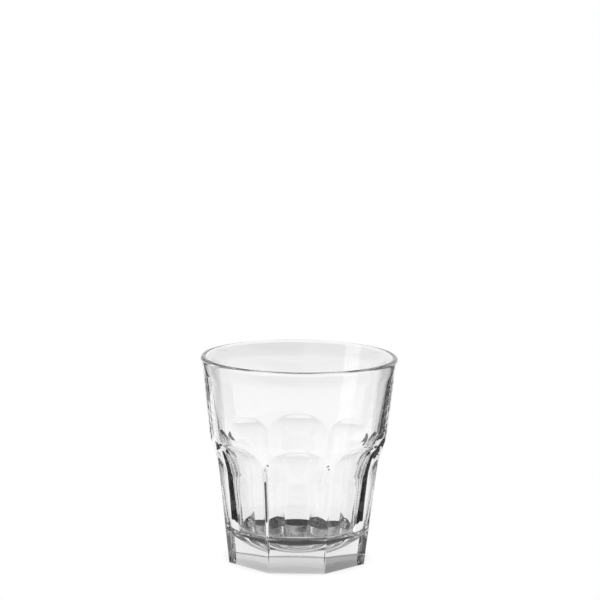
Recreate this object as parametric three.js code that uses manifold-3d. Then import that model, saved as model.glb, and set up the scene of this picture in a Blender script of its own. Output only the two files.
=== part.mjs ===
// Pressed-glass whisky tumbler, in millimetres, standing on Z = 0 with its axis on Z.
// The round bowl tapers down from a fire-polished lip. Eight panels are pressed into the lower
// body: each is flat from the foot upwards, then sweeps out at the shoulder and ends in an arch
// where it runs out through the round bowl. The cavity tapers down to a dished floor in a thick base,
// and the underside is slightly hollow, so that the glass stands on a ring.

import * as THREE from 'three';
import { mergeVertices } from 'three/addons/utils/BufferGeometryUtils.js';
import Module from 'manifold-3d';

// Lip and bowl
const HEIGHT = 89;
const RIM_DIAMETER = 85;
const LIP_THICKNESS = 2.5;
const LIP_LEAN = THREE.MathUtils.degToRad(13);
const FLARE_HEIGHT = 8;
const FLARE_REACH = 1.3;
const SHOULDER_HEIGHT = 54.3;
const SHOULDER_DIAMETER = 76.64;
const SHOULDER_WALL = 3.1;

// Panels
const PANEL_COUNT = 8;
const FOOT_ACROSS_FLATS = 58.1;
const SWEEP_HEIGHT = 39;
const SWEEP_ACROSS_FLATS = 66.96;
const SWEEP_POWER = 3.5;
const PANEL_WALL = 2.9;
const CORNER_STOCK = 1;
const FOOT_EDGE_RADIUS = 1;

// Base and cavity floor: the base is thinnest in the middle of the dish, and the lower wall is
// measured at the floor's edge
const BASE_THICKNESS = 5.9;
const FLOOR_BOWL_RADIUS = 50;
const FLOOR_EDGE_HEIGHT = 12;
const FLOOR_WALL = 3.6;
const FLOOR_FILLET = 5;
const BEARING_WIDTH = 4;
const HOLLOW_DEPTH = 0.6;

// Smoothness of the round shapes, and how far the panel cutters stand clear of the glass
const ROUND_SEGMENTS = 80;
const CURVE_STEPS = 6;
const SWEEP_STEPS = 10;
const CUTTER_MARGIN = 6;

const wasm = await Module();
wasm.setup();

// Points of the outline as (radius, height)
const shoulder = new THREE.Vector2(SHOULDER_DIAMETER / 2, SHOULDER_HEIGHT);
const flare = new THREE.Vector2(RIM_DIAMETER / 2 - FLARE_REACH, HEIGHT - FLARE_HEIGHT);
const foot = new THREE.Vector2(FOOT_ACROSS_FLATS / 2, 0);
const sweep = new THREE.Vector2(SWEEP_ACROSS_FLATS / 2, SWEEP_HEIGHT);
const blankFoot = new THREE.Vector2(foot.x / Math.cos(Math.PI / PANEL_COUNT) + CORNER_STOCK, 0);

function pointAtHeight(low, high, height) {
  return low.clone().lerp(high, (height - low.y) / (high.y - low.y));
}

function direction(from, to) {
  return to.clone().sub(from).normalize();
}

// Radius of the outside at a height below the shoulder, measured at the middle of a panel
function panelRadius(height) {
  const panel = pointAtHeight(foot, sweep, height).x;
  const blank = pointAtHeight(blankFoot, shoulder, height).x;
  return Math.min(panel, blank);
}

// The round blank before the panels: foot, bowl, lip, cavity and floor in one turned outline
function blankOutline() {
  const lipRadius = LIP_THICKNESS / 2;
  const lipCentre = new THREE.Vector2(RIM_DIAMETER / 2 - lipRadius, HEIGHT - lipRadius);
  const lipStart = new THREE.Vector2(Math.cos(LIP_LEAN), -Math.sin(LIP_LEAN));
  lipStart.multiplyScalar(lipRadius).add(lipCentre);
  const innerShoulder = new THREE.Vector2(shoulder.x - SHOULDER_WALL, SHOULDER_HEIGHT);
  const innerSweep = new THREE.Vector2(panelRadius(SWEEP_HEIGHT) - PANEL_WALL, SWEEP_HEIGHT);
  const innerFloor = new THREE.Vector2(panelRadius(FLOOR_EDGE_HEIGHT) - FLOOR_WALL, FLOOR_EDGE_HEIGHT);
  const hollowRadius = foot.x - FOOT_EDGE_RADIUS - BEARING_WIDTH;

  const outline = new THREE.Path();
  outline.moveTo(0, HOLLOW_DEPTH);
  outline.quadraticCurveTo(hollowRadius / 2, HOLLOW_DEPTH, hollowRadius, 0);
  outline.lineTo(blankFoot.x, blankFoot.y);
  outline.lineTo(shoulder.x, shoulder.y);
  outline.lineTo(flare.x, flare.y);

  // The bowl leaves its taper in a gentle flare that meets the lip at its own lean
  const handle = (lipStart.y - flare.y) / 3;
  const flareHandle = direction(shoulder, flare).multiplyScalar(handle).add(flare);
  const lipHandle = new THREE.Vector2(-Math.sin(LIP_LEAN), -Math.cos(LIP_LEAN));
  lipHandle.multiplyScalar(handle).add(lipStart);
  outline.bezierCurveTo(flareHandle.x, flareHandle.y, lipHandle.x, lipHandle.y, lipStart.x, lipStart.y);

  // The lip is a half round that runs into the inner wall
  const wallTop = new THREE.Vector2(lipCentre.x - lipRadius, lipCentre.y);
  const wallLean = direction(innerShoulder, wallTop).angle();
  outline.absarc(lipCentre.x, lipCentre.y, lipRadius, -LIP_LEAN, wallLean + Math.PI / 2, false);
  outline.lineTo(innerShoulder.x, innerShoulder.y);
  outline.lineTo(innerSweep.x, innerSweep.y);

  // The inner wall turns into the dished floor through a fillet, which touches both: its centre lies
  // one fillet inside the wall, and short of the dish's radius by the same from the dish's centre
  const up = direction(innerFloor, innerSweep);
  const bowlCentre = new THREE.Vector2(0, BASE_THICKNESS + FLOOR_BOWL_RADIUS);
  const inside = new THREE.Vector2(-up.y, up.x).multiplyScalar(FLOOR_FILLET);
  const start = inside.add(innerFloor).sub(bowlCentre);
  const along = start.dot(up);
  const square = along ** 2 - start.lengthSq() + (FLOOR_BOWL_RADIUS - FLOOR_FILLET) ** 2;
  const toFillet = up.clone().multiplyScalar(-along - Math.sqrt(square)).add(start);
  const filletCentre = toFillet.clone().add(bowlCentre);
  const wallTurn = up.angle() - Math.PI / 2;
  const dishTurn = toFillet.angle() - 2 * Math.PI;
  outline.absarc(filletCentre.x, filletCentre.y, FLOOR_FILLET, wallTurn, dishTurn, true);
  outline.absarc(0, bowlCentre.y, FLOOR_BOWL_RADIUS, dishTurn, -Math.PI / 2, true);
  return outline.getPoints(CURVE_STEPS);
}

// A point of a panel's sweep, which leaves the flat slowly and turns out more and more: share runs
// from 0 at the top of the flat to 1 at the shoulder
function sweepPoint(share) {
  const flatTop = pointAtHeight(foot, sweep, SHOULDER_HEIGHT);
  const point = sweep.clone().lerp(flatTop, share);
  point.x += (shoulder.x - flatTop.x) * share ** SWEEP_POWER;
  return point;
}

// What one panel takes off the blank, as an outline of (radius, height): it follows the rounded
// edge of the foot, the flat of the panel and the sweep out to the shoulder, then closes outside
function panelCutOutline() {
  const edgeTop = pointAtHeight(foot, sweep, FOOT_EDGE_RADIUS);
  const lastTurn = direction(sweepPoint(1 - 1 / SWEEP_STEPS), shoulder);
  const runOut = lastTurn.multiplyScalar(CUTTER_MARGIN).add(shoulder);
  const outside = RIM_DIAMETER / 2 + runOut.x;

  const cut = new THREE.Shape();
  cut.moveTo(foot.x - FOOT_EDGE_RADIUS, -CUTTER_MARGIN);
  cut.lineTo(foot.x - FOOT_EDGE_RADIUS, 0);
  cut.quadraticCurveTo(foot.x, 0, edgeTop.x, edgeTop.y);
  for (let i = 0; i <= SWEEP_STEPS; i += 1) {
    const point = sweepPoint(i / SWEEP_STEPS);
    cut.lineTo(point.x, point.y);
  }
  cut.lineTo(runOut.x, runOut.y);
  cut.lineTo(outside, runOut.y);
  cut.lineTo(outside, -CUTTER_MARGIN);
  cut.closePath();
  return cut;
}

function panelCutter(angle) {
  const width = RIM_DIAMETER;
  const cutter = new THREE.ExtrudeGeometry(panelCutOutline(), {
    depth: width,
    curveSegments: CURVE_STEPS,
    bevelEnabled: false,
  });
  cutter.translate(0, 0, -width / 2);
  cutter.rotateX(Math.PI / 2);
  cutter.rotateZ(angle);
  return cutter;
}

// A closed solid from a geometry: equal corners are merged and triangles with no area left out
function solidFrom(geometry) {
  const bare = geometry.index ? geometry.clone() : geometry;
  bare.deleteAttribute('normal');
  bare.deleteAttribute('uv');
  const merged = mergeVertices(bare, 1e-4);
  const triangles = [];
  for (let i = 0; i < merged.index.count; i += 3) {
    const [a, b, c] = [0, 1, 2].map((k) => merged.index.getX(i + k));
    if (a !== b && b !== c && c !== a) {
      triangles.push(a, b, c);
    }
  }
  const vertProperties = new Float32Array(merged.attributes.position.array);
  const triVerts = new Uint32Array(triangles);
  return new wasm.Manifold(new wasm.Mesh({ numProp: 3, vertProperties, triVerts }));
}

function geometryFrom(solid) {
  const mesh = solid.getMesh();
  const geometry = new THREE.BufferGeometry();
  geometry.setAttribute('position', new THREE.BufferAttribute(mesh.vertProperties, 3));
  geometry.setIndex(new THREE.BufferAttribute(mesh.triVerts, 1));
  geometry.computeVertexNormals();
  return geometry;
}

function tumblerGeometry() {
  const blank = new THREE.LatheGeometry(blankOutline(), ROUND_SEGMENTS);
  blank.rotateX(Math.PI / 2);
  let solid = solidFrom(blank);
  for (let i = 0; i < PANEL_COUNT; i += 1) {
    const angle = -Math.PI / 2 + (i * 2 * Math.PI) / PANEL_COUNT;
    solid = solid.subtract(solidFrom(panelCutter(angle)));
  }
  return geometryFrom(solid);
}

const clearGlass = new THREE.MeshStandardMaterial({
  color: 0xeef3f2,
  roughness: 0.04,
  metalness: 0,
  transparent: true,
  opacity: 0.35,
});

const tumbler = new THREE.Mesh(tumblerGeometry(), clearGlass);
tumbler.name = 'tumbler';

const glass = new THREE.Group();
glass.add(tumbler);

export default glass;
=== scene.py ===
import math

import bpy
import numpy as np
from bpy.props import FloatProperty, FloatVectorProperty, IntProperty, PointerProperty
from mathutils import Matrix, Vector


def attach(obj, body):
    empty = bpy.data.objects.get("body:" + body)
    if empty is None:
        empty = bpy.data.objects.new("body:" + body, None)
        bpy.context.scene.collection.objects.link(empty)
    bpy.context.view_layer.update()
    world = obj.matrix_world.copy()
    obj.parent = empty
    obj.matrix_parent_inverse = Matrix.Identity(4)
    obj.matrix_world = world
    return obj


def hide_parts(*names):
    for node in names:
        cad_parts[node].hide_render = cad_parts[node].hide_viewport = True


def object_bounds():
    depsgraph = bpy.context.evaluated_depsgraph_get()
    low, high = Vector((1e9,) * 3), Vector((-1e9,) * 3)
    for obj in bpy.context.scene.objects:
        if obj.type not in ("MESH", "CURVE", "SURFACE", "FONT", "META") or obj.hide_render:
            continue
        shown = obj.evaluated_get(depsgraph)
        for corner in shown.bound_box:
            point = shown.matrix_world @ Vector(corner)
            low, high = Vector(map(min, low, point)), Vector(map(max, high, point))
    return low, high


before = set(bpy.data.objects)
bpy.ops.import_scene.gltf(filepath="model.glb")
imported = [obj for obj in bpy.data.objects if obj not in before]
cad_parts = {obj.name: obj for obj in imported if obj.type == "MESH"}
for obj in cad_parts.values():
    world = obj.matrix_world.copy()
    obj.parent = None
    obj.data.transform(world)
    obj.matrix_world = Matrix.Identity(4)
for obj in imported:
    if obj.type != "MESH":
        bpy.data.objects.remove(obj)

bl_info = {
    "name": "Pressed whisky tumbler",
    "version": (1, 0, 0),
    "blender": (4, 5, 0),
    "location": "3D View > Sidebar > Tumbler",
    "description": "A panelled tumbler of pressed glass on a pale studio floor",
    "category": "Add Mesh",
}

MM = 0.001
CAD_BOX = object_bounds()
RIM_DIAMETER = CAD_BOX[1].x - CAD_BOX[0].x
HEIGHT = CAD_BOX[1].z - CAD_BOX[0].z

# Angle of the mould seam round the axis, on the ridge left of the front panel
SEAM_TURN = math.radians(-112.5)

# Length over which the seam runs out at both ends
SEAM_RUN_OUT = 4 * MM

# Columns across a panel, and steps along each stretch of the outline
PANEL_COLUMNS = 36
HOLLOW_STEPS = 16
FOOT_EDGE_STEPS = 6
FLAT_STEPS = 18
SWEEP_STEPS = 69
BOWL_STEPS = 6
FLARE_STEPS = 10
LIP_STEPS = 20
WALL_STEPS = 8
LOWER_WALL_STEPS = 5
FILLET_STEPS = 14
DISH_STEPS = 24

# Where the bearing ring has rows, as shares of its width: those close to its edges keep it flat
RING_ROWS = (0.04, 0.3, 0.65, 0.96, 1.0)

# How far above the shoulder the fine rows round the arches go on
ARCH_MARGIN = 2 * MM

# Light crosses many faces of the glass before it leaves
LIGHT_BOUNCES = 32

# The floor reaches this far from the axis in metres, and lies just under the foot. The sheet of painted shadow
# under the foot, the sheet of painted light falloff behind it and the flags lie a little above it, each at its
# own level.
FLOOR_REACH = 3.0
FLOOR_LEVEL = -0.2 * MM
UNDER_FOOT_SHADOW_LEVEL = -0.1 * MM
LIGHT_FALLOFF_LEVEL = 0.0
FLAG_LEVEL = 0.4 * MM
UNDER_FOOT_SHADOW_CORNERS = 96

# Brightness of the room by the sine of the height above the horizon: it fades upwards
BACKDROP = ((0.0, 1.0), (0.12, 0.88), (0.24, 0.78), (0.36, 0.66), (0.6, 0.52), (0.97, 0.4))

# Sines of the heights between which the white wall all round gives way to the room
WHITE_WALL = (0.08, 0.14)

# Dim sides of the room: direction, cosines where the dimness is full and where it ends, light left
DIM_SIDES = (
    ((0.88, -0.33, 0.33), 0.82, 0.27, 0.22),
    ((0.42, -0.86, 0.30), 0.95, 0.75, 0.08),
    ((-0.50, 0.83, 0.25), 0.98, 0.90, 0.55),
    ((-0.95, -0.30, 0.10), 0.80, 0.30, 0.60),
)

# Dark flags on the floor round the glass, which the glass shows and the camera doesn't: compass angles
# from straight behind it, to the right, then nearest and farthest distance from its axis in
# millimetres, and tone
FLAGS = (
    (-112, -74, 66, 142, 0.02),
    (-74, -56, 66, 1500, 0.03),
    (-56, -34, 300, 1500, 0.05),
    (-34, -28, 142, 1500, 0.05),
    (28, 34, 142, 1500, 0.05),
    (34, 56, 120, 1500, 0.05),
    (56, 74, 66, 1500, 0.03),
    (74, 112, 66, 142, 0.02),
    (160, 200, 62, 150, 0.1),
)


# Sizes and colours that a user may change

def length(name, description, default):
    return FloatProperty(name=name, description=description, default=default, unit="LENGTH", precision=4)


def angle(name, description, degrees):
    return FloatProperty(name=name, description=description, default=math.radians(degrees), subtype="ANGLE")


def linear(hex_colour):
    """Linear RGBA of an sRGB hex colour."""
    channels = [int(hex_colour[i:i + 2], 16) / 255.0 for i in (0, 2, 4)]
    return tuple(c / 12.92 if c <= 0.04045 else ((c + 0.055) / 1.055) ** 2.4 for c in channels) + (1.0,)


def colour(name, description, hex_colour):
    return FloatVectorProperty(
        name=name, description=description, default=linear(hex_colour), subtype="COLOR", size=4, min=0.0, max=1.0)


class TumblerSizes(bpy.types.PropertyGroup):
    """Sizes of the glass: those of the solid that it replaces, with a sharper edge at the foot, and with
    the fire polish and the mould seam that the solid leaves out"""

    rim_diameter: length("Rim diameter", "Across the widest part of the lip", RIM_DIAMETER)
    height: length("Height", "From the foot to the top of the lip", HEIGHT)
    lip_thickness: length("Lip thickness", "Diameter of the rounded lip", 2.5 * MM)
    lip_lean: angle("Lip lean", "Lean of the outside just under the lip", 13)
    flare_height: length("Flare height", "How far below the rim the wall turns out", 8 * MM)
    flare_reach: length("Flare reach", "How far the lip stands out past the wall", 1.3 * MM)
    shoulder_height: length("Shoulder height", "Top of the arched panels", 54.3 * MM)
    shoulder_diameter: length("Shoulder diameter", "Outside of the bowl at the shoulder", 76.64 * MM)
    shoulder_wall: length("Shoulder wall", "Wall of the bowl at the shoulder", 3.1 * MM)
    foot_across_flats: length("Foot across flats", "Between opposite panels at the foot", 58.1 * MM)
    sweep_height: length("Sweep height", "Where a panel leaves its flat", 39 * MM)
    sweep_across_flats: length("Sweep across flats", "Between opposite panels there", 66.96 * MM)
    sweep_power: FloatProperty(
        name="Sweep power", description="How late a panel's sweep turns outwards", default=3.5)
    panel_wall: length("Panel wall", "Wall behind a panel where its sweep starts", 2.9 * MM)
    corner_stock: length("Corner stock", "Round blank outside the foot's corners", 1 * MM)
    foot_edge: length("Foot edge", "Rounding of the foot's lower edge", 0.3 * MM)
    base_thickness: length("Base thickness", "From the foot to the middle of the floor", 5.9 * MM)
    floor_bowl: length("Floor bowl", "Radius of the dished floor", 50 * MM)
    floor_height: length("Floor height", "Where the inner wall's size is given at the floor", 12 * MM)
    floor_wall: length("Floor wall", "Wall behind a panel at that height", 3.6 * MM)
    floor_fillet: length("Floor fillet", "Radius between the wall and the floor", 5 * MM)
    bearing_width: length("Bearing width", "Flat ring that the glass stands on", 4 * MM)
    hollow_depth: length("Hollow depth", "Depth of the hollow underside", 0.6 * MM)
    foot_ridge_melt: length("Foot ridge melt", "Fire polish on the ridges at the foot", 0.12 * MM)
    ridge_melt: length("Ridge melt", "Fire polish on the ridges at the shoulder", 0.9 * MM)
    arch_melt: length("Arch melt", "Fire polish on the arched edges", 0.25 * MM)
    # A real seam is about 0.2 mm, too fine to show, so it is drawn bolder
    seam_height: length("Seam height", "How far the mould seam stands out", 0.9 * MM)
    seam_width: length("Seam width", "Half the width of the mould seam", 0.6 * MM)
    seam_start: length("Seam start", "Where the mould seam starts, above the foot", 11 * MM)
    seam_end: length("Seam end", "Where the mould seam ends, below the shoulder", 48 * MM)
    panels: IntProperty(name="Panels", description="Panels round the body", default=8)


class StudioLooks(bpy.types.PropertyGroup):
    """Colours and sizes of the studio, and its camera"""

    floor_colour: colour("Floor", "Pale floor", "FFFFFF")
    shadow_colour: colour("Shadow", "Faint contact shadow on the floor round the foot", "F4F4F4")
    shadow_radius: length("Shadow radius", "Where that shadow ends", 34 * MM)
    # Painted shadow: a dark sheet under the foot and just behind it, seen only by the glass, stands in for the
    # glass's own shadow; the base shows it as a dark band
    under_foot_shadow_colour: colour("Card", "Dark card under the foot, which the base shows as a dark band", "2C2C2C")
    under_foot_shadow_radius: length("Card radius", "Reach of the card round the axis", 36 * MM)
    under_foot_shadow_rear: length("Card rear", "Where the card ends behind the axis", 34 * MM)
    under_foot_shadow_bow: length("Card bow", "Radius of that rear edge", 55 * MM)
    # Painted light falloff: a sheet seen only by the glass, white close to the glass and pale grey farther behind
    # it
    light_falloff_colour: colour("Paper", "Graded paper where it is far behind the glass", "EAEAEA")
    light_falloff_start: length("Paper start", "Where the graded paper starts, in the floor's white", 90 * MM)
    light_falloff_end: length("Paper end", "Where the graded paper has its full tone", 650 * MM)
    light_falloff_length: length("Paper length", "Where the graded paper ends", 1300 * MM)
    light_falloff_turn: angle("Paper turn", "Half the angle that the graded paper spans", 28)
    softbox_distance: length("Softbox distance", "From the axis to the softbox on the left", 600 * MM)
    softbox_turn: angle("Softbox turn", "Round the glass from the camera's side to the left", 74)
    softbox_width: length("Softbox width", "Width of the softbox", 255 * MM)
    softbox_height: length("Softbox height", "Height of the softbox, which stands on the floor", 450 * MM)
    softbox_power: FloatProperty(
        name="Softbox power", description="Power of the softbox", default=0.4, unit="POWER")
    camera_distance: length("Camera distance", "From the glass to the camera", 960 * MM)
    camera_height: length("Camera height", "Above the floor", 256.9 * MM)
    camera_pitch: angle("Camera pitch", "Below the horizon", 8.516)
    camera_roll: angle("Camera roll", "Tilt of the photograph", 0.75)
    camera_lens: FloatProperty(name="Lens", description="Focal length in millimetres", default=135.6)


# Mesh of the glass

def soft_min(a, b, melt):
    """The smaller of a and b, rounded off over a difference of melt where they cross."""
    near = np.maximum(melt - np.abs(a - b), 0.0) / melt
    return np.minimum(a, b) - near * near * melt / 4.0


def between(low, high, height):
    """Radius on the straight line from low to high, both (radius, height), at a height."""
    share = (height - low[1]) / (high[1] - low[1])
    return low[0] + (high[0] - low[0]) * share


def arc(centre, radius, start, end, steps):
    """Points of (radius, height) along an arc, between two angles."""
    turn = np.linspace(start, end, steps + 1)
    return [(centre[0] + radius * math.cos(t), centre[1] + radius * math.sin(t)) for t in turn]


def bezier(a, b, c, d, steps):
    """Points of (radius, height) along a cubic curve from a to d, with handles b and c."""
    points = []
    for t in np.linspace(0.0, 1.0, steps + 1):
        s = 1.0 - t
        weights = (s ** 3, 3 * s * s * t, 3 * s * t * t, t ** 3)
        points.append(tuple(sum(w * p[k] for w, p in zip(weights, (a, b, c, d))) for k in (0, 1)))
    return points


class Outline:
    """Outline of the glass as (radius, height) rows, worked out from its sizes."""

    def __init__(self, sizes, around):
        self.s = sizes
        self.around = around
        self.foot = (sizes.foot_across_flats / 2, 0.0)
        self.sweep = (sizes.sweep_across_flats / 2, sizes.sweep_height)
        self.shoulder = (sizes.shoulder_diameter / 2, sizes.shoulder_height)
        self.flare = (sizes.rim_diameter / 2 - sizes.flare_reach, sizes.height - sizes.flare_height)
        self.half_panel = math.pi / sizes.panels
        corner = self.foot[0] / math.cos(self.half_panel)
        self.blank_foot = (corner + sizes.corner_stock, 0.0)

    def blank(self, height):
        """Radius of the round body before the panels, up to the flare."""
        if height < self.shoulder[1]:
            return between(self.blank_foot, self.shoulder, height)
        return between(self.shoulder, self.flare, height)

    def flat(self, height):
        """Distance of a panel's face from the axis: a straight taper, then a sweep outwards."""
        taper = between(self.foot, self.sweep, height)
        rise = self.shoulder[0] - between(self.foot, self.sweep, self.shoulder[1])
        share = max(height - self.sweep[1], 0.0) / (self.shoulder[1] - self.sweep[1])
        return taper + rise * share ** self.s.sweep_power

    def panelled(self, flat, blank, height, turn):
        """Radius round the glass at a height, with turn the angle from the nearest panel's middle."""
        s = self.s
        share = min(max((height - s.floor_height) / (s.shoulder_height - s.floor_height), 0.0), 1.0)
        ridge_melt = s.foot_ridge_melt + (s.ridge_melt - s.foot_ridge_melt) * share
        near = flat / np.cos(turn)
        next_one = flat / np.cos(2 * self.half_panel - np.abs(turn))
        return soft_min(soft_min(near, next_one, ridge_melt), blank, s.arch_melt)

    def seam(self, radii, height):
        """How far the mould seam stands out, along one ridge."""
        s = self.s
        ends = (s.seam_start, s.seam_start + SEAM_RUN_OUT, s.seam_end - SEAM_RUN_OUT, s.seam_end)
        reach = np.interp(height, ends, (0.0, 1.0, 1.0, 0.0))
        side = np.abs((self.around - SEAM_TURN + math.pi) % (2 * math.pi) - math.pi) * radii
        return s.seam_height * reach * np.sqrt(np.maximum(1.0 - (side / s.seam_width) ** 2, 0.0))

    def rows(self, turn):
        """Rows of (radii, height) from the middle of the underside round to the middle of the floor."""
        s = self.s
        around = np.ones_like(turn)
        rows = []
        # Hollow underside
        hollow = self.foot[0] - s.foot_edge - s.bearing_width
        for t in np.linspace(0.0, 1.0, HOLLOW_STEPS + 1)[1:]:
            rows.append((around * hollow * t, s.hollow_depth * (1.0 - t * t)))
        # Flat bearing ring, from the round hollow out to the eight-sided edge
        edge = self.panelled(self.foot[0] - s.foot_edge, 1.0, 0.0, turn)
        for t in RING_ROWS:
            rows.append((hollow + (edge - hollow) * t, 0.0))
        # Rounded lower edge of the foot
        for t in np.linspace(0.0, 1.0, FOOT_EDGE_STEPS + 1)[1:]:
            height = s.foot_edge * (1.0 - math.cos(t * math.pi / 2))
            inset = s.foot_edge * (1.0 - math.sin(t * math.pi / 2))
            flat = self.flat(height) - inset
            rows.append((self.panelled(flat, self.blank(height), height, turn), height))
        # Panels up to just past their arches, with finer rows round the arches
        arch_top = s.shoulder_height + ARCH_MARGIN
        heights = np.concatenate((
            np.linspace(s.foot_edge, s.sweep_height, FLAT_STEPS + 1)[1:],
            np.linspace(s.sweep_height, arch_top, SWEEP_STEPS + 1)[1:]))
        for height in heights:
            radii = self.panelled(self.flat(height), self.blank(height), height, turn)
            rows.append((radii + self.seam(radii, height), height))
        # Round bowl, flare, lip and cavity
        for height in np.linspace(arch_top, self.flare[1], BOWL_STEPS + 1)[1:]:
            rows.append((around * self.blank(height), height))
        for radius, height in self.lip_and_cavity():
            rows.append((around * radius, height))
        return rows

    def lip_and_cavity(self):
        """Points of (radius, height) from the flare over the lip and down to the middle of the floor."""
        s = self.s
        lip = s.lip_thickness / 2
        centre = (s.rim_diameter / 2 - lip, s.height - lip)
        lean = s.lip_lean
        lip_start = (centre[0] + lip * math.cos(lean), centre[1] - lip * math.sin(lean))
        handle = (lip_start[1] - self.flare[1]) / 3
        taper = math.atan2(self.flare[0] - self.shoulder[0], self.flare[1] - self.shoulder[1])
        flare_handle = (self.flare[0] + handle * math.sin(taper), self.flare[1] + handle * math.cos(taper))
        lip_handle = (lip_start[0] - handle * math.sin(lean), lip_start[1] - handle * math.cos(lean))
        points = bezier(self.flare, flare_handle, lip_handle, lip_start, FLARE_STEPS)[1:]

        inner_shoulder = (self.shoulder[0] - s.shoulder_wall, s.shoulder_height)
        inner_sweep = (self.flat(s.sweep_height) - s.panel_wall, s.sweep_height)
        inner_floor = (self.flat(s.floor_height) - s.floor_wall, s.floor_height)
        wall_lean = math.atan2(centre[0] - lip - inner_shoulder[0], centre[1] - inner_shoulder[1])
        points += arc(centre, lip, -lean, math.pi - wall_lean, LIP_STEPS)[1:]

        for low, high in ((inner_shoulder, points[-1]), (inner_sweep, inner_shoulder)):
            for t in np.linspace(1.0, 0.0, WALL_STEPS + 1)[1:]:
                height = low[1] + (high[1] - low[1]) * t
                points.append((between(low, high, height), height))

        # A fillet joins the inner wall to the dished floor
        floor_lean = math.atan2(inner_sweep[0] - inner_floor[0], inner_sweep[1] - inner_floor[1])
        along = (math.sin(floor_lean), math.cos(floor_lean))
        inward = (-along[1], along[0])
        bowl = (0.0, s.base_thickness + s.floor_bowl)
        gap = s.floor_bowl - s.floor_fillet
        start = (inner_floor[0] + inward[0] * s.floor_fillet - bowl[0],
                 inner_floor[1] + inward[1] * s.floor_fillet - bowl[1])
        half = start[0] * along[0] + start[1] * along[1]
        reach = -half - math.sqrt(half * half - start[0] ** 2 - start[1] ** 2 + gap * gap)
        centre = (start[0] + bowl[0] + reach * along[0], start[1] + bowl[1] + reach * along[1])
        turn = math.atan2(centre[1] - bowl[1], centre[0] - bowl[0])
        fillet = arc(centre, s.floor_fillet, -floor_lean, turn, FILLET_STEPS)
        for t in np.linspace(1.0, 0.0, LOWER_WALL_STEPS + 1)[1:-1]:
            height = fillet[0][1] + (inner_sweep[1] - fillet[0][1]) * t
            points.append((between(fillet[0], inner_sweep, height), height))
        points += fillet
        points += arc(bowl, s.floor_bowl, turn, -math.pi / 2, DISH_STEPS)[1:-1]
        return points


def panel_turns(panels, columns):
    """Angles round the glass, closer together at the ridges, and each one's angle from its panel's middle."""
    half = math.pi / panels
    across = np.linspace(-1.0, 1.0, columns + 1)[:-1]
    turn = half * (1.5 * across - 0.5 * across ** 3)
    middles = -math.pi / 2 + 2 * half * np.arange(panels)
    return (middles[:, None] + turn[None, :]).ravel(), np.tile(turn, panels)


def glass_mesh(sizes):
    """Closed mesh of the glass: rows of the outline round the axis, with a point at each end."""
    around, turn = panel_turns(sizes.panels, PANEL_COLUMNS)
    outline = Outline(sizes, around)
    rows = outline.rows(turn)
    columns = len(around)
    points = [(0.0, 0.0, sizes.hollow_depth)]
    for radii, height in rows:
        east, north = radii * np.cos(around), radii * np.sin(around)
        points += zip(east.tolist(), north.tolist(), [float(height)] * columns)
    points.append((0.0, 0.0, sizes.base_thickness))

    def corner(row, column):
        return 1 + row * columns + column % columns

    faces = [(0, corner(0, j + 1), corner(0, j)) for j in range(columns)]
    for i in range(len(rows) - 1):
        for j in range(columns):
            faces.append((corner(i, j), corner(i, j + 1), corner(i + 1, j + 1), corner(i + 1, j)))
    last = len(rows) - 1
    top = len(points) - 1
    faces += [(top, corner(last, j), corner(last, j + 1)) for j in range(columns)]
    mesh = bpy.data.meshes.new("tumbler_glass")
    mesh.from_pydata(points, [], faces)
    mesh.validate()
    mesh.shade_smooth()
    return mesh


# Materials

def node(tree, kind, settings=None, inputs=None):
    """Adds a node, sets its attributes, and sets or links its inputs."""
    made = tree.nodes.new(kind)
    for key, value in (settings or {}).items():
        setattr(made, key, value)
    for key, value in (inputs or {}).items():
        if isinstance(value, bpy.types.NodeSocket):
            tree.links.new(value, made.inputs[key])
        else:
            made.inputs[key].default_value = value
    return made


def empty_material(name):
    material = bpy.data.materials.new(name)
    material.use_nodes = True
    material.node_tree.nodes.clear()
    return material


def pressed_glass():
    """Pressed soda-lime glass, fire-polished: clear and colourless, with a faint waviness left by the
    mould that makes what is seen through it swim a little, and a slight grey where it is thick."""
    material = empty_material("pressed_soda_lime_glass")
    tree = material.node_tree
    place = node(tree, "ShaderNodeTexCoord").outputs["Object"]
    wave_size = 14 * MM
    waves = node(tree, "ShaderNodeTexNoise", {}, {"Vector": place, "Scale": 1.0 / wave_size, "Detail": 1.0})
    bump = node(tree, "ShaderNodeBump", {}, {
        "Strength": 0.015, "Distance": 0.2 * MM, "Height": waves.outputs["Fac"]})
    glass = node(tree, "ShaderNodeBsdfPrincipled", {}, {
        "Base Color": linear("FFFFFF"),
        "Roughness": 0.0,
        "IOR": 1.52,
        "Transmission Weight": 1.0,
        "Normal": bump.outputs["Normal"],
    })
    body = node(tree, "ShaderNodeVolumeAbsorption", {}, {"Color": linear("C8C8C8"), "Density": 8.0})
    node(tree, "ShaderNodeOutputMaterial", {}, {
        "Surface": glass.outputs["BSDF"], "Volume": body.outputs["Volume"]})
    return material


def light_table(looks, sizes):
    """Opal acrylic lit evenly from below: white, with a faint shadow close to the foot."""
    material = empty_material("opal_acrylic_light_table")
    tree = material.node_tree
    spot = node(tree, "ShaderNodeTexCoord").outputs["Object"]
    out = node(tree, "ShaderNodeVectorMath", {"operation": "LENGTH"}, {0: spot}).outputs["Value"]
    soft = node(tree, "ShaderNodeMapRange", {"interpolation_type": "SMOOTHSTEP"}, {
        0: out, 1: sizes.foot_across_flats / 2, 2: looks.shadow_radius}).outputs[0]
    tone = node(tree, "ShaderNodeMix", {"data_type": "RGBA"}, {
        "Factor": soft, "A": looks.shadow_colour, "B": looks.floor_colour}).outputs["Result"]
    glow = node(tree, "ShaderNodeEmission", {}, {"Color": tone, "Strength": 1.0})
    node(tree, "ShaderNodeOutputMaterial", {}, {"Surface": glow.outputs["Emission"]})
    return material


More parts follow.
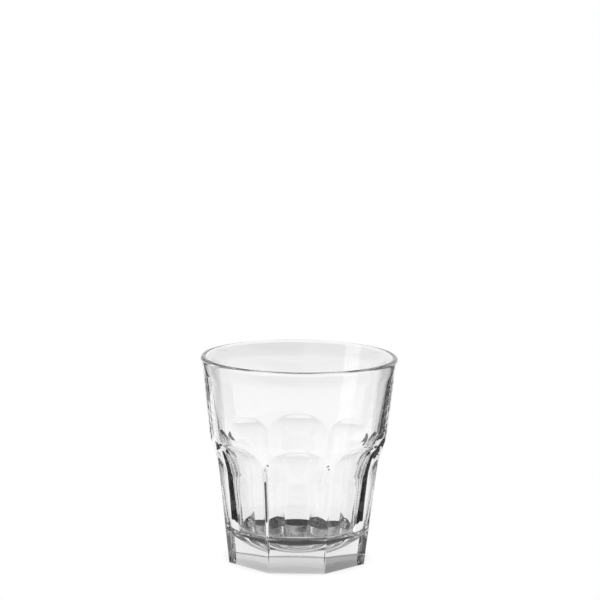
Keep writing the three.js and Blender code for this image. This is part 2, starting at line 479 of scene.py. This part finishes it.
def painted_light_falloff(looks):
    """Painted light falloff: white close to the glass and pale grey farther behind it, which brings out
    the arches that bend the view."""
    material = empty_material("painted_light_falloff_sheet")
    tree = material.node_tree
    spot = node(tree, "ShaderNodeTexCoord").outputs["Object"]
    behind = node(tree, "ShaderNodeSeparateXYZ", {}, {0: spot}).outputs["Y"]
    fade = node(tree, "ShaderNodeMapRange", {"interpolation_type": "SMOOTHSTEP"}, {
        0: behind, 1: looks.light_falloff_start, 2: looks.light_falloff_end}).outputs[0]
    tone = node(tree, "ShaderNodeMix", {"data_type": "RGBA"}, {
        "Factor": fade, "A": looks.floor_colour, "B": looks.light_falloff_colour}).outputs["Result"]
    glow = node(tree, "ShaderNodeEmission", {}, {"Color": tone, "Strength": 1.0})
    node(tree, "ShaderNodeOutputMaterial", {}, {"Surface": glow.outputs["Emission"]})
    return material


def dark_flag_and_shadow(tone):
    """Plain dark tone: on the flags, which the glass picks up along its sides, and on the painted shadow under
    the foot, which the glass shows in its base.
    """
    material = empty_material("dark_flag_and_shadow")
    tree = material.node_tree
    glow = node(tree, "ShaderNodeEmission", {}, {"Color": tone, "Strength": 1.0})
    node(tree, "ShaderNodeOutputMaterial", {}, {"Surface": glow.outputs["Emission"]})
    return material


# Operators

class TUMBLER_OT_glass(bpy.types.Operator):
    """Makes the glass"""

    bl_idname = "tumbler.glass"
    bl_label = "Glass"

    def execute(self, context):
        sizes = context.scene.tumbler_sizes
        mesh = glass_mesh(sizes)
        mesh.materials.append(pressed_glass())
        piece = bpy.data.objects.new("tumbler_glass", mesh)
        context.scene.collection.objects.link(piece)
        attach(piece, "root")
        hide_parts("tumbler")
        return {"FINISHED"}


class TUMBLER_OT_studio(bpy.types.Operator):
    """Makes the backdrop, the floor with its flags, its painted shadow under the foot and its painted light
    falloff, the softbox and the camera
    """

    bl_idname = "tumbler.studio"
    bl_label = "Studio"

    def execute(self, context):
        looks = context.scene.tumbler_looks
        self.backdrop(context)
        self.floor(context, looks)
        self.flags(context)
        self.under_foot_shadow(context, looks)
        self.light_falloff(context, looks)
        self.softbox(context, looks)
        self.camera(context, looks)
        return {"FINISHED"}

    def backdrop(self, context):
        """A white wall all round, and above it a room that fades upwards and has dim sides."""
        world = bpy.data.worlds.new("studio")
        world.use_nodes = True
        tree = world.node_tree
        tree.nodes.clear()
        way = node(tree, "ShaderNodeTexCoord").outputs["Generated"]
        up = node(tree, "ShaderNodeSeparateXYZ", {}, {0: way}).outputs["Z"]
        fade = node(tree, "ShaderNodeValToRGB", {}, {"Fac": up})
        stops = fade.color_ramp.elements
        while len(stops) < len(BACKDROP):
            stops.new(0.5)
        for stop, (place, tone) in zip(stops, BACKDROP):
            stop.position = place
            stop.color = (tone, tone, tone, 1.0)
        tone = fade.outputs["Color"]
        for side, full, end, left in DIM_SIDES:
            aim = node(tree, "ShaderNodeVectorMath", {"operation": "DOT_PRODUCT"}, {
                0: way, 1: side}).outputs["Value"]
            keep = node(tree, "ShaderNodeMapRange", {"interpolation_type": "SMOOTHSTEP"}, {
                0: aim, 1: end, 2: full, 3: 1.0, 4: left}).outputs[0]
            tone = node(tree, "ShaderNodeVectorMath", {"operation": "SCALE"}, {
                0: tone, "Scale": keep}).outputs[0]
        above = node(tree, "ShaderNodeMapRange", {"interpolation_type": "SMOOTHSTEP"}, {
            0: up, 1: WHITE_WALL[0], 2: WHITE_WALL[1]}).outputs[0]
        tone = node(tree, "ShaderNodeMix", {"data_type": "RGBA"}, {
            "Factor": above, "A": linear("FFFFFF"), "B": tone}).outputs["Result"]
        glow = node(tree, "ShaderNodeBackground", {}, {"Color": tone, "Strength": 1.0})
        node(tree, "ShaderNodeOutputWorld", {}, {"Surface": glow.outputs["Background"]})
        context.scene.world = world

    def floor(self, context, looks):
        r = FLOOR_REACH
        corners = [(-r, -r), (r, -r), (r, r), (-r, r)]
        self.sheet(context, "floor", corners, FLOOR_LEVEL, light_table(looks, context.scene.tumbler_sizes))

    def flags(self, context):
        for start, end, near, far, tone in FLAGS:
            corners = []
            for turn, reach in ((start, near), (start, far), (end, far), (end, near)):
                turn = math.radians(turn)
                corners.append((reach * MM * math.sin(turn), reach * MM * math.cos(turn)))
            flag = self.sheet(context, "flag", corners, FLAG_LEVEL, dark_flag_and_shadow((tone, tone, tone, 1.0)))
            flag.visible_camera = False

    def under_foot_shadow(self, context, looks):
        """Painted shadow: a dark sheet under the foot, which reaches out behind it with a flatter edge."""
        middle = looks.under_foot_shadow_rear - looks.under_foot_shadow_bow
        corners = []
        for turn in np.linspace(0.0, 2 * math.pi, UNDER_FOOT_SHADOW_CORNERS, endpoint=False):
            along, across = middle * math.cos(turn), middle * math.sin(turn)
            reach = min(along + math.sqrt(looks.under_foot_shadow_bow ** 2 - across ** 2), looks.under_foot_shadow_radius)
            corners.append((reach * math.sin(turn), reach * math.cos(turn)))
        under_foot_shadow = self.sheet(context, "under_foot_shadow", corners, UNDER_FOOT_SHADOW_LEVEL, dark_flag_and_shadow(looks.under_foot_shadow_colour))
        under_foot_shadow.visible_camera = False

    def light_falloff(self, context, looks):
        """Painted light falloff on the floor behind the glass, between the dark flags."""
        near, far = looks.light_falloff_start, looks.light_falloff_length
        slope = math.tan(looks.light_falloff_turn)
        corners = [(-near * slope, near), (near * slope, near), (far * slope, far), (-far * slope, far)]
        light_falloff = self.sheet(context, "light_falloff", corners, LIGHT_FALLOFF_LEVEL, painted_light_falloff(looks))
        light_falloff.visible_camera = False

    def softbox(self, context, looks):
        data = bpy.data.lights.new("softbox", "AREA")
        data.shape = "RECTANGLE"
        data.size = looks.softbox_width
        data.size_y = looks.softbox_height
        data.energy = looks.softbox_power
        lamp = bpy.data.objects.new("softbox", data)
        turn = Matrix.Rotation(-looks.softbox_turn, 4, "Z")
        place = Matrix.Translation((0.0, -looks.softbox_distance, looks.softbox_height / 2))
        lamp.matrix_world = turn @ place @ Matrix.Rotation(math.pi / 2, 4, "X")
        context.scene.collection.objects.link(lamp)

    def sheet(self, context, name, corners, level, material):
        """A flat sheet of the studio at a level, from its corners in order."""
        mesh = bpy.data.meshes.new(name)
        mesh.from_pydata([(x, y, 0.0) for x, y in corners], [], [tuple(range(len(corners)))])
        mesh.materials.append(material)
        sheet = bpy.data.objects.new(name, mesh)
        sheet.location.z = level
        context.scene.collection.objects.link(sheet)
        return sheet

    def camera(self, context, looks):
        data = bpy.data.cameras.new("camera")
        data.lens = looks.camera_lens
        data.sensor_width = 36.0
        camera = bpy.data.objects.new("camera", data)
        place = Matrix.Translation((0.0, -looks.camera_distance, looks.camera_height))
        look = Matrix.Rotation(math.pi / 2 - looks.camera_pitch, 4, "X")
        camera.matrix_world = place @ look @ Matrix.Rotation(looks.camera_roll, 4, "Z")
        context.scene.collection.objects.link(camera)
        context.scene.camera = camera


class TUMBLER_PT_panel(bpy.types.Panel):
    """Lists the sizes, the looks and the operators"""

    bl_idname = "TUMBLER_PT_panel"
    bl_label = "Tumbler"
    bl_space_type = "VIEW_3D"
    bl_region_type = "UI"
    bl_category = "Tumbler"

    def draw(self, context):
        for group in (context.scene.tumbler_sizes, context.scene.tumbler_looks):
            for name in group.__annotations__:
                self.layout.prop(group, name)
        for operator in (TUMBLER_OT_glass, TUMBLER_OT_studio):
            self.layout.operator(operator.bl_idname)


CLASSES = (TumblerSizes, StudioLooks, TUMBLER_OT_glass, TUMBLER_OT_studio, TUMBLER_PT_panel)


def register():
    for cls in CLASSES:
        bpy.utils.register_class(cls)
    bpy.types.Scene.tumbler_sizes = PointerProperty(type=TumblerSizes)
    bpy.types.Scene.tumbler_looks = PointerProperty(type=StudioLooks)


def unregister():
    del bpy.types.Scene.tumbler_looks
    del bpy.types.Scene.tumbler_sizes
    for cls in reversed(CLASSES):
        bpy.utils.unregister_class(cls)


def main():
    register()
    scene = bpy.context.scene
    scene.view_settings.view_transform = "Standard"
    scene.cycles.max_bounces = LIGHT_BOUNCES
    scene.cycles.glossy_bounces = LIGHT_BOUNCES
    scene.cycles.transmission_bounces = LIGHT_BOUNCES
    bpy.ops.tumbler.glass()
    bpy.ops.tumbler.studio()


if __name__ == "__main__":
    main()
